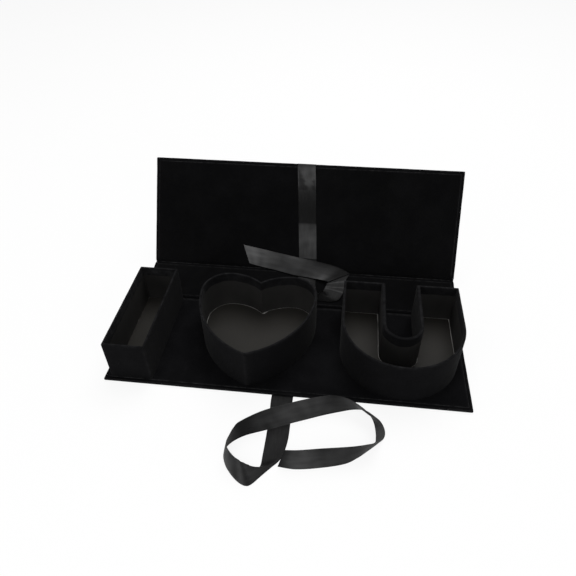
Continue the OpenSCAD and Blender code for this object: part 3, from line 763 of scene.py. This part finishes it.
# Ribbon. One length of grey satin ribbon, 24 mm wide with woven edges, is glued round the outside
# of the open case, and its two ends are free. The satin's tone is painted from near black to light
# grey at each place: painted highlights and painted shade.
ribbon_width, ribbon_drift = 24.0, 9.0
hidden_thread, plain_thread, shown_thread, plain_painted_light = 0.0001, 0.00015, 0.0002, 0.35
satin, tree, skin = new_finish("satin_ribbon", 0.34, 0.045, 0.02, sheen_roughness=0.3)
skin.inputs["Anisotropic"].default_value = 0.8
lay = node(tree, "ShaderNodeUVMap", {"uv_map": "weave"}).outputs["UV"]
tangent = node(tree, "ShaderNodeTangent", {"direction_type": "UV_MAP", "uv_map": "weave"})
tree.links.new(tangent.outputs["Tangent"], skin.inputs["Tangent"])
stretched = node(tree, "ShaderNodeMapping", sockets={"Vector": lay, "Scale": (46.0, 2.2, 1.0)})
threads = node(tree, "ShaderNodeTexNoise", {"noise_dimensions": "2D"}, {
    "Vector": stretched.outputs["Vector"], "Scale": 1.0, "Detail": 4.0, "Roughness": 0.6})
threads = threads.outputs["Fac"]
patchy = node(tree, "ShaderNodeTexNoise", {"noise_dimensions": "2D"}, {
    "Vector": lay, "Scale": 1.3, "Detail": 2.0}).outputs["Fac"]
picks = node(tree, "ShaderNodeTexWave", {"bands_direction": "Y"}, {
    "Vector": lay, "Scale": 28.0, "Distortion": 1.5, "Detail": 1.0}).outputs["Fac"]
# Painted light: the attribute sets each place's tone between the dark and the light colour below,
# as painted highlights and painted shade.
painted_light = node(tree, "ShaderNodeAttribute", {"attribute_name": "painted_light"}).outputs["Fac"]
streaks = reckon(tree, "MULTIPLY_ADD", threads, 0.16, -0.08)
lit_share = reckon(tree, "ADD", streaks, painted_light, clamp=True)
tone = tinted(tree, lit_share, (0.0018, 0.0018, 0.0019), (0.105, 0.105, 0.106))
dress(tree, skin, tone, reckon(tree, "MULTIPLY_ADD", picks, 0.35, threads), 0.35, 0.00012)
tree.links.new(moved_range(tree, patchy, (0.3, 0.7), (0.36, 0.46)), skin.inputs["Roughness"])

# Woven edge. Both edges of the ribbon are woven closer than its middle and stand a little proud.
# A tree of nodes runs a fine cord along every edge that is marked, and joins it to the band.
woven_edge = bpy.data.node_groups.new("woven_edge", "GeometryNodeTree")
woven_edge.interface.new_socket("Geometry", in_out="INPUT", socket_type="NodeSocketGeometry")
edge_radius = woven_edge.interface.new_socket(
    "Edge Radius", in_out="INPUT", socket_type="NodeSocketFloat")
edge_finish = woven_edge.interface.new_socket(
    "Edge Finish", in_out="INPUT", socket_type="NodeSocketMaterial")
woven_edge.interface.new_socket("Geometry", in_out="OUTPUT", socket_type="NodeSocketGeometry")
given = woven_edge.nodes.new("NodeGroupInput")
marked = node(woven_edge, "GeometryNodeInputNamedAttribute", {"data_type": "BOOLEAN"}, {
    "Name": "ribbon_edge"})
edge_lines = node(woven_edge, "GeometryNodeMeshToCurve", sockets={
    "Mesh": given.outputs["Geometry"], "Selection": marked.outputs["Attribute"]})
thread = node(woven_edge, "GeometryNodeCurvePrimitiveCircle", sockets={
    "Resolution": 6, "Radius": given.outputs["Edge Radius"]})
corded = node(woven_edge, "GeometryNodeCurveToMesh", sockets={
    "Curve": edge_lines.outputs["Curve"], "Profile Curve": thread.outputs["Curve"],
    "Fill Caps": True})
finished = node(woven_edge, "GeometryNodeSetMaterial", sockets={
    "Geometry": corded.outputs["Mesh"], "Material": given.outputs["Edge Finish"]})
joined = woven_edge.nodes.new("GeometryNodeJoinGeometry")
woven_edge.links.new(finished.outputs["Geometry"], joined.inputs["Geometry"])
woven_edge.links.new(given.outputs["Geometry"], joined.inputs["Geometry"])
whole = node(woven_edge, "GeometryNodeRealizeInstances", sockets={
    "Geometry": joined.outputs["Geometry"]})
leaving = woven_edge.nodes.new("NodeGroupOutput")
woven_edge.links.new(whole.outputs["Geometry"], leaving.inputs["Geometry"])


def smooth_way(rows, steps):
    """A smooth curve through rows of numbers."""
    rows = np.asarray(rows, float)
    out = []
    for i in range(len(rows) - 1):
        a, b = rows[max(i - 1, 0)], rows[i]
        c, d = rows[i + 1], rows[min(i + 2, len(rows) - 1)]
        for step in range(steps):
            t = step / steps
            out.append(b + t * ((c - a) + t * ((2 * a - 5 * b + 4 * c - d)
                                               + t * (3 * b - a - 3 * c + d))) / 2)
    return np.array([*out, rows[-1]])


def ribbon_piece(name, down, up, form=None, painted_light=None, thread=plain_thread, columns=12):
    """A band of ribbon between two edges in mm, with a form lifting it off the straight. The
    painted light given for each place sets the satin's tone: painted highlights where it is high,
    painted shade where it is low."""
    middle = (down + up) / 2
    along = np.concatenate([[0], np.cumsum(np.linalg.norm(np.diff(middle, axis=0), axis=1))])
    shares = np.linspace(0, 1, columns + 1)
    sheet = down[:, None] * (1 - shares[None, :, None]) + up[:, None] * shares[None, :, None]
    if form is not None:
        normal = np.cross(np.gradient(middle, axis=0), up - down)
        normal /= np.linalg.norm(normal, axis=1, keepdims=True)
        sheet = sheet + normal[:, None] * form(along[:, None], shares[None, :])[..., None]
    off = np.cross(np.gradient(sheet, axis=0), np.gradient(sheet, axis=1))
    off *= ribbon_thick / 2 / np.linalg.norm(off, axis=2, keepdims=True)
    points = np.concatenate([(sheet + off).reshape(-1, 3), (sheet - off).reshape(-1, 3)])
    rows, n = len(down), columns + 1
    flat = rows * n
    faces = []
    for i in range(rows - 1):
        for k in range(columns):
            a = i * n + k
            faces += [[a, a + 1, a + n + 1, a + n],
                      [a + flat, a + n + flat, a + n + 1 + flat, a + 1 + flat]]
        for a, b in ((i * n, i * n + n), (i * n + 2 * n - 1, i * n + n - 1)):
            faces.append([a, b, b + flat, a + flat])
    faces += [[k + 1, k, k + flat, k + 1 + flat] for k in range(columns)]
    faces += [[a, a + 1, a + 1 + flat, a + flat] for a in range(flat - n, flat - 1)]
    piece = make_piece(name, points, faces, satin)
    mesh = piece.data
    # Painted light: each place's painted tone, given or plain, made a little cloudy at random.
    painted_shine = np.full((rows, n), plain_painted_light) if painted_light is None else np.clip(
        painted_light(along[:, None], shares[None, :]), 0, 1)
    cloudy = [noise.noise(Vector((shares[k] * 6.0, along[i] / 24.0, rows)))
              + noise.noise(Vector((shares[k] * 1.4 + along[i] / 35.0, along[i] / 9.0, -rows)))
              for i in range(rows) for k in range(n)]
    painted_shine = painted_shine.reshape(-1) * (1 + 0.35 * np.array(cloudy))
    mesh.attributes.new("painted_light", "FLOAT", "POINT").data.foreach_set(
        "value", np.tile(painted_shine, 2).astype(np.float32))
    weave = mesh.uv_layers.new(name="weave")
    for loop in mesh.loops:
        v = loop.vertex_index % flat
        weave.data[loop.index].uv = (shares[v % n], along[v // n] / ribbon_width)
    mark = mesh.attributes.new("ribbon_edge", "BOOLEAN", "EDGE")
    for edge in mesh.edges:
        a, b = edge.vertices
        mark.data[edge.index].value = max(a, b) < flat and a % n == b % n and a % n in (0, columns)
    trim = piece.modifiers.new("woven_edge", "NODES")
    trim.node_group = woven_edge
    trim[edge_radius.identifier] = thread
    trim[edge_finish.identifier] = satin
    graph = bpy.context.evaluated_depsgraph_get()
    mesh = bpy.data.meshes.new_from_object(
        piece.evaluated_get(graph), preserve_all_data_layers=True, depsgraph=graph)
    piece.modifiers.clear()
    piece.data = mesh
    return piece, middle * mm


# Front tail. The front end of the ribbon comes out from under the base and lies on the table in
# a loop that stands on its edge.
steps_per_row, lowest_line = 8, 0.36
# Rows of x, distance in front of the base and height, in shares of the ribbon's width: first of
# the edge that stays down and then of the edge that rises.
front_route = (
    (0.5, -0.1, 0, -0.5, -0.1, 0), (0.5, 0.38, 0, -0.5, 0.38, 0), (0.52, 0.96, 0, -0.46, 1.0, 0),
    (0.54, 1.7, 0, -0.44, 1.8, 0), (0.53, 2.3, 0, -0.44, 2.5, 0),
    (0.47, 2.76, 0, -0.45, 3.14, 0.01), (0.38, 3.13, 0, -0.46, 3.66, 0.06),
    (0.22, 3.42, 0, -0.56, 3.94, 0.28), (0.02, 3.65, 0, -0.7, 4.04, 0.54),
    (-0.23, 3.94, 0, -0.85, 4.09, 0.75), (-0.47, 4.23, 0, -0.97, 4.1, 0.83),
    (-0.65, 4.45, 0, -1.07, 4.06, 0.84), (-0.85, 4.6, 0, -1.18, 4.02, 0.82),
    (-1.1, 4.57, 0, -1.3, 3.94, 0.82), (-1.41, 4.38, 0, -1.45, 3.88, 0.86),
    (-1.73, 4.07, 0, -1.62, 3.78, 0.94), (-1.96, 3.76, 0, -1.78, 3.62, 0.97),
    (-2.11, 3.4, 0, -1.88, 3.47, 0.97), (-2.12, 3.1, 0, -1.93, 3.25, 0.97),
    (-2.02, 2.84, 0, -1.88, 3.0, 0.98), (-1.75, 2.54, 0, -1.75, 2.58, 1.0),
    (-1.3, 2.25, 0.02, -1.54, 2.22, 0.97), (-0.42, 1.9, 0.05, -0.7, 1.62, 0.99),
    (0.54, 1.48, 0.05, 0.3, 1.12, 0.96), (1.25, 1.16, 0.02, 1.03, 0.78, 0.92),
    (1.92, 0.87, 0, 1.72, 0.56, 0.95), (2.66, 0.6, 0, 2.42, 0.42, 0.96),
    (3.34, 0.39, 0, 3.09, 0.55, 0.96), (3.86, 0.38, 0, 3.63, 0.82, 0.87),
    (4.25, 0.62, 0, 3.97, 1.12, 0.82), (4.57, 0.92, 0, 4.17, 1.45, 0.78),
    (4.74, 1.34, 0, 4.26, 1.86, 0.76), (4.7, 1.74, 0, 4.28, 2.25, 0.77),
    (4.4, 2.08, 0, 4.22, 2.57, 0.85), (4.0, 2.46, 0, 3.89, 2.76, 0.95),
    (3.57, 2.84, 0, 3.5, 2.9, 1.0), (3.04, 3.18, 0, 3.0, 3.0, 0.99),
    (2.08, 3.46, 0, 2.02, 3.15, 0.95), (1.02, 3.65, 0, 1.11, 3.32, 0.94),
    (0.25, 3.61, 0, 0.52, 3.38, 0.94))
# Painted light for both edges at each row of the route: painted highlights where high, painted
# shade where near nought.
front_painted_light = (
    (0.09, 0.1), (0.09, 0.11), (0.11, 0.1), (0.09, 0.09), (0.07, 0.08), (0.06, 0.08),
    (0.07, 0.09), (0.1, 0.06), (0.13, 0.1), (0.12, 0.16), (0.14, 0.18), (0.17, 0.19),
    (0.12, 0.12), (0.34, 0.36), (0.22, 0.18), (0.36, 0.32), (0.28, 0.36), (0.18, 0.22),
    (0.14, 0.14), (0.08, 0.12), (0.05, 0.08), (0.04, 0.06), (0.3, 0.18),
    (0.38, 0.3), (0.31, 0.36), (0.28, 0.3), (0.24, 0.1), (0.32, 0.28), (0.32, 0.28),
    (0.0, 0.0), (0.0, 0.0), (0.14, 0.18), (0.22, 0.14), (0.12, 0.18), (0.14, 0.16),
    (0.2, 0.14), (0.2, 0.18), (0.25, 0.2), (0.49, 0.35), (0.03, 0.05))
front_places = smooth_way(np.array(front_route) * ribbon_width, steps_per_row)


def in_front(places):
    height = np.maximum(places[:, 2] + ribbon_thick / 2, lowest_line)
    return np.column_stack([places[:, 0], front_y - places[:, 1], height])


def painted_light_along(rows, steps):
    """Painted light given for both edges at the same rows as a route."""
    pairs = smooth_way(rows, steps)
    return lambda along, share: pairs[:, :1] * (1 - share) + pairs[:, 1:] * share


def loop_form(along, share):
    """The standing ribbon bows a little across its width, more in some places than in others."""
    bow = 0.35 * np.sin(along / 31.0) + 0.25 * np.sin(along / 13.0 + 1.0)
    bow = bow + 2.4 * fading(along - 324, 12)
    return bow * 4 * share * (1 - share) * np.clip((along - 95) / 30, 0, 1)


front_tail, front_middle = ribbon_piece(
    "ribbon_front_loop", in_front(front_places[:, :3]), in_front(front_places[:, 3:]), loop_form,
    painted_light_along(front_painted_light, steps_per_row), shown_thread)
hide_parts("ribbon_front_tail")
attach(front_tail, "base")

# Rear tail. The other end comes down the inside of the lid, lies curled on the spine, folds over
# itself and lies across the lid.
fold_rows = 6
# Rows of x from the strip on the lid, the way up the lid from its hinge line and the height off
# the face, in shares of the ribbon's width, for both edges. Down the spine the way is negative.
rear_route = (
    (-0.5, 0.72, 0, 0.5, 0.72, 0), (-0.5, 0.3, 0.02, 0.5, 0.3, 0.02),
    (-0.49, 0.1, 0.04, 0.51, 0.1, 0.04), (-0.48, -0.1, 0.04, 0.52, -0.1, 0.04),
    (-0.47, -0.32, 0.02, 0.53, -0.32, 0.02), (-0.46, -0.6, 0.02, 0.54, -0.6, 0.02),
    (-0.42, -1.16, 0.02, 0.58, -1.16, 0.02), (-0.3, -1.7, 0.02, 0.67, -1.5, 0.04),
    (0, -1.98, 0.02, 0.8, -1.68, 0.12), (0.46, -2.08, 0.02, 0.88, -1.74, 0.27),
    (1, -2.12, 0.02, 0.94, -1.76, 0.3), (1.5, -2.14, 0.03, 1.0, -1.72, 0.26),
    (1.88, -2.02, 0.05, 1.04, -1.66, 0.18), (2.1, -1.66, 0.08, 1.07, -1.46, 0.12),
    (2.19, -1.17, 0.11, 1.17, -1.15, 0.11), (2.27, -0.62, 0.12, 1.23, -0.98, 0.12),
    (2.45, -0.14, 0.12, 1.28, -0.84, 0.12))
rear_folded_back = (
    (2.45, -0.14, 0.17, 1.28, -0.84, 0.17), (2.12, 0.22, 0.16, 1.08, -0.78, 0.17),
    (1.5, 0.43, 0.12, 0.86, -0.72, 0.15), (0.54, 0.6, 0.07, 0.34, -0.58, 0.08),
    (-0.58, 0.77, 0.07, -0.75, -0.4, 0.06), (-1.75, 0.96, 0.05, -1.92, -0.1, 0.06),
    (-2.88, 1.15, 0.03, -2.88, 0.14, 0.05), (-3.8, 1.3, 0.02, -3.42, 0.26, 0.02))
# Painted light for both edges at each row of the two routes: painted shade where the tail turns on
# the spine, painted highlights over the fold and across the lid.
rear_painted_light = (
    (0.04, 0.05), (0.04, 0.05), (0.03, 0.05), (0.03, 0.04), (0.04, 0.04), (0.05, 0.04),
    (0.03, 0.02), (0.0, 0.0), (0.0, 0.0), (0.0, 0.0), (0.0, 0.0), (0.0, 0.0),
    (0.02, 0.01), (0.06, 0.08), (0.1, 0.12), (0.14, 0.08), (0.1, 0.06))
folded_painted_light = (
    (0.04, 0.05), (0.03, 0.1), (0.02, 0.56), (0.07, 0.32), (0.36, 0.26), (0.34, 0.4),
    (0.76, 0.68), (0.72, 0.8))
# Each crumple: its place along the ribbon, its slant across it and its half width, in mm.
crumples = ((100.0, 2.5, 1.0), (106.5, -0.8, 0.9), (114.0, 1.5, 1.5))


def on_inside(places):
    """On the inside of the spine, or of the lid beyond the hinge line."""
    x, way, off = places[:, 0] + ribbon_drift, places[:, 1], places[:, 2] + ribbon_thick / 2
    cos, sin = math.cos(lid_turn), math.sin(lid_turn)
    return np.column_stack([
        x, spine_height + np.where(way > 0, way * cos - off * sin, way),
        np.where(way > 0, way * sin + off * cos, off)])


def rear_edge(columns):
    """One edge of the rear tail: it comes, bends sharply over the fold line and goes back."""
    coming, going = (
        on_spine(smooth_way(on_inside(np.array(rows)[:, columns] * ribbon_width), steps_per_row))
        for rows in (rear_route, rear_folded_back))
    middle, half = (coming[-1] + going[0]) / 2, (coming[-1] - going[0]) / 2
    out = coming[-1] - coming[-3]
    out -= half * (out @ half) / (half @ half)
    out *= 0.6 * np.linalg.norm(half) / np.linalg.norm(out)
    bend = [middle + half * math.cos(a) + out * math.sin(a)
            for a in np.linspace(0, math.pi, fold_rows + 2)[1:-1]]
    return np.concatenate([coming, bend, going])


def on_crumples(along, share):
    return sum(fading(along - place - slant * share, spread) for place, slant, spread in crumples)


def tail_painted_light(along, share):
    coming, going = (smooth_way(rows, steps_per_row) for rows in (rear_painted_light, folded_painted_light))
    pairs = np.concatenate([coming, np.repeat(coming[-1:], fold_rows, 0), going])
    bright = pairs[:, :1] * (1 - share) + pairs[:, 1:] * share
    # Painted highlights along the crumples.
    return bright + 0.3 * on_crumples(along, share)


def tail_form(along, share):
    """Crumples across the ribbon below its fold."""
    return 0.7 * on_crumples(along, share) * (4 * share * (1 - share)) ** 0.5


rear_tail, rear_middle = ribbon_piece(
    "ribbon_rear_fold", rear_edge(slice(0, 3)), rear_edge(slice(3, 6)), tail_form, tail_painted_light,
    shown_thread)
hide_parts("ribbon_rear_tail")
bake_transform(rear_tail)

# Glued ribbon. It lies flat under the base and behind the spine, over both hinges, and up the
# outside of the lid, over its edge and down the inside as far as the free end.
board_end, edge_out, base_short, tail_lap = 1.2, 0.15, 0.6, 0.4
below_at, back_at, inside_at = 0.26 - panel_thick, 0.14 - panel_thick, 0.16
tail_start = 0.75 * ribbon_width


def flat_strip(ys, z, drift=0.0):
    left = np.column_stack(np.broadcast_arrays(drift - channel_half, ys, z))
    return left, left + (2 * channel_half, 0, 0)


ys = np.linspace(base_depth - base_short, half_gap, 40)
strip, _ = ribbon_piece(
    "ribbon_below", *map(on_base, flat_strip(ys, below_at)), thread=hidden_thread)
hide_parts("ribbon_under_base")
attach(strip, "base")
ys = np.linspace(half_gap, spine_height - half_gap, 20)
strip, _ = ribbon_piece("ribbon_behind", *map(on_spine, flat_strip(ys, back_at)))
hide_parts("ribbon_behind_spine")
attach(strip, "spine")
for hinge, low_body, high_body, place, turn in (
        ("rear_hinge", "base", "spine", at_rear_hinge, spine_slope),
        ("lid_hinge", "spine", "lid", at_lid_hinge, lid_turn)):
    ys, zs = np.array(round_bend(-back_at, turn, steps=12)).T
    strip, _ = ribbon_piece("ribbon_round_" + hinge, *map(place, flat_strip(ys, zs)))
    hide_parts("ribbon_over_" + hinge)
    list(both_sides(place, turn))
    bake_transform(strip)
outside = [(y, back_at) for y in np.linspace(half_gap, lid_depth - board_end, 50)]
over_edge = [(lid_depth - board_end + (board_end + edge_out) * math.cos(a),
              (panel_thick / 2 + edge_out) * math.sin(a) - panel_thick / 2)
             for a in np.linspace(-math.pi / 2, math.pi / 2, 13)[1:-1]]
inside = [(y, inside_at) for y in np.linspace(lid_depth - board_end, tail_start - tail_lap, 60)]
ys, zs = np.array(outside + over_edge + inside).T
drift = np.zeros(len(ys))
drift[-len(inside):] = (
    ribbon_drift * (lid_depth - ys[-len(inside):]) / (lid_depth - tail_start))


def strip_form(along, share):
    """Inside the lid the strip is glued in places only, so it swells a little between them."""
    settled = np.clip((along - 160) / 12, 0, 1) * np.clip((272 - along) / 8, 0, 1)
    swell = settled * (0.30 + 0.18 * np.sin(along / 8.5 + 0.8) + 0.12 * np.sin(along / 3.9))
    edge_rise = 1.2 * np.clip((along - 147) / 5, 0, 1) * fading(along - 152, 18)
    return swell * (1 - (2 * share - 1) ** 2 * 0.8) + edge_rise


def strip_painted_light(along, share):
    """Painted shade in the middle of the strip inside the lid, and painted highlights on either
    side. The upper light part runs out in a point, and the painted shade ends in a sharp line."""
    bright = np.interp(
        along, (0, 148, 153, 160, 172, 179, 185, 192, 200, 226, 228.5, 236, 250, 264, 290),
        (0.2, 0.2, 0.42, 0.46, 0.38, 0.15, 0.08, 0.04, 0.0, 0.0, 0.22, 0.32, 0.38, 0.29, 0.3))
    way_down = np.clip((along - 152) / 26, 0, 1)
    ragged = 0.05 * np.sin(along * 0.9) + 0.035 * np.sin(along * 2.3 + 1.0)
    left_of = np.clip((0.1 + 0.5 * way_down + ragged - share) / 0.16, 0, 1)
    right_of = np.clip((share - 1.02 + 0.3 * way_down + ragged) / 0.12, 0, 1)
    # Painted shade that comes in from both edges, with a ragged border.
    painted_dull = np.maximum(left_of, right_of) * (way_down > 0) * (along < 182)
    off_edges = np.clip((np.minimum(share, 1 - share) - 0.03) / 0.06, 0, 1)
    return bright * (1 - 0.7 * painted_dull * off_edges)


strip, _ = ribbon_piece(
    "ribbon_on_lid", *map(on_lid, flat_strip(ys, zs, drift)), strip_form, strip_painted_light,
    shown_thread)
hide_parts("ribbon_outside_lid", "ribbon_inside_lid")
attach(strip, "lid")

# Stage. A plain white table top in a white room. One wide soft lamp hangs above and behind the
# case, one stands in front of it above the camera, and two low ones stand at its sides.
table_white, table_shown, room_light, table_half, table_drop = 0.86, 0.88, 0.34, 9.0, 0.0002


def looked_at(tree):
    """1 for rays that come from the camera, a mirror or glass, and 0 for those that light."""
    rays = node(tree, "ShaderNodeLightPath").outputs
    seen = reckon(tree, "MAXIMUM", rays["Is Camera Ray"], rays["Is Glossy Ray"])
    return reckon(tree, "MAXIMUM", seen, rays["Is Transmission Ray"])


table_finish = bpy.data.materials.new("table")
table_finish.use_nodes = True
tree = table_finish.node_tree
tree.nodes.remove(tree.nodes["Principled BSDF"])
lit = node(tree, "ShaderNodeBsdfDiffuse", sockets={"Color": (*[table_white] * 3, 1)})
white = node(tree, "ShaderNodeEmission", sockets={"Color": (1, 1, 1, 1), "Strength": 1.0})
mixed = node(tree, "ShaderNodeMixShader", sockets={
    0: reckon(tree, "MULTIPLY", looked_at(tree), table_shown), 1: lit.outputs[0],
    2: white.outputs[0]})
tree.links.new(mixed.outputs[0], tree.nodes["Material Output"].inputs["Surface"])
table_mesh = bpy.data.meshes.new("table")
table_mesh.from_pydata(
    [(x * table_half, y * table_half, -table_drop)
     for x, y in ((-1, -1), (1, -1), (1, 1), (-1, 1))], [], [(0, 1, 2, 3)])
table_mesh.materials.append(table_finish)
table = bpy.data.objects.new("table", table_mesh)
scene.collection.objects.link(table)

room = bpy.data.worlds.new("white_room")
room.use_nodes = True
tree = room.node_tree
tree.nodes.clear()
lit, white = (
    node(tree, "ShaderNodeBackground", sockets={"Color": (1, 1, 1, 1), "Strength": strength})
    for strength in (room_light, 1.0))
mixed = node(tree, "ShaderNodeMixShader", sockets={
    0: looked_at(tree), 1: lit.outputs[0], 2: white.outputs[0]})
node(tree, "ShaderNodeOutputWorld", sockets={"Surface": mixed.outputs[0]})
scene.world = room

for name, place, towards, size, power in (
        ("lamp_above", (0.15, 0.85, 1.72), (0, 0.03, 0), 1.4, 25.0),
        ("lamp_left", (-1.15, -1.25, 0.72), (0, 0, 0.03), 0.8, 7.0),
        ("lamp_right", (1.1, -1.35, 0.7), (0, 0, 0.03), 0.8, 5.0),
        ("lamp_front", (0.1, -1.3, 1.5), (0, 0, 0.03), 0.9, 8.5)):
    lamp_data = bpy.data.lights.new(name, "AREA")
    lamp_data.shape = "DISK"
    lamp_data.size = size
    lamp_data.energy = power
    lamp = bpy.data.objects.new(name, lamp_data)
    lamp.location = place
    lamp.rotation_euler = (Vector(towards) - Vector(place)).to_track_quat("-Z", "Y").to_euler()
    scene.collection.objects.link(lamp)

scene.view_settings.view_transform = "Standard"
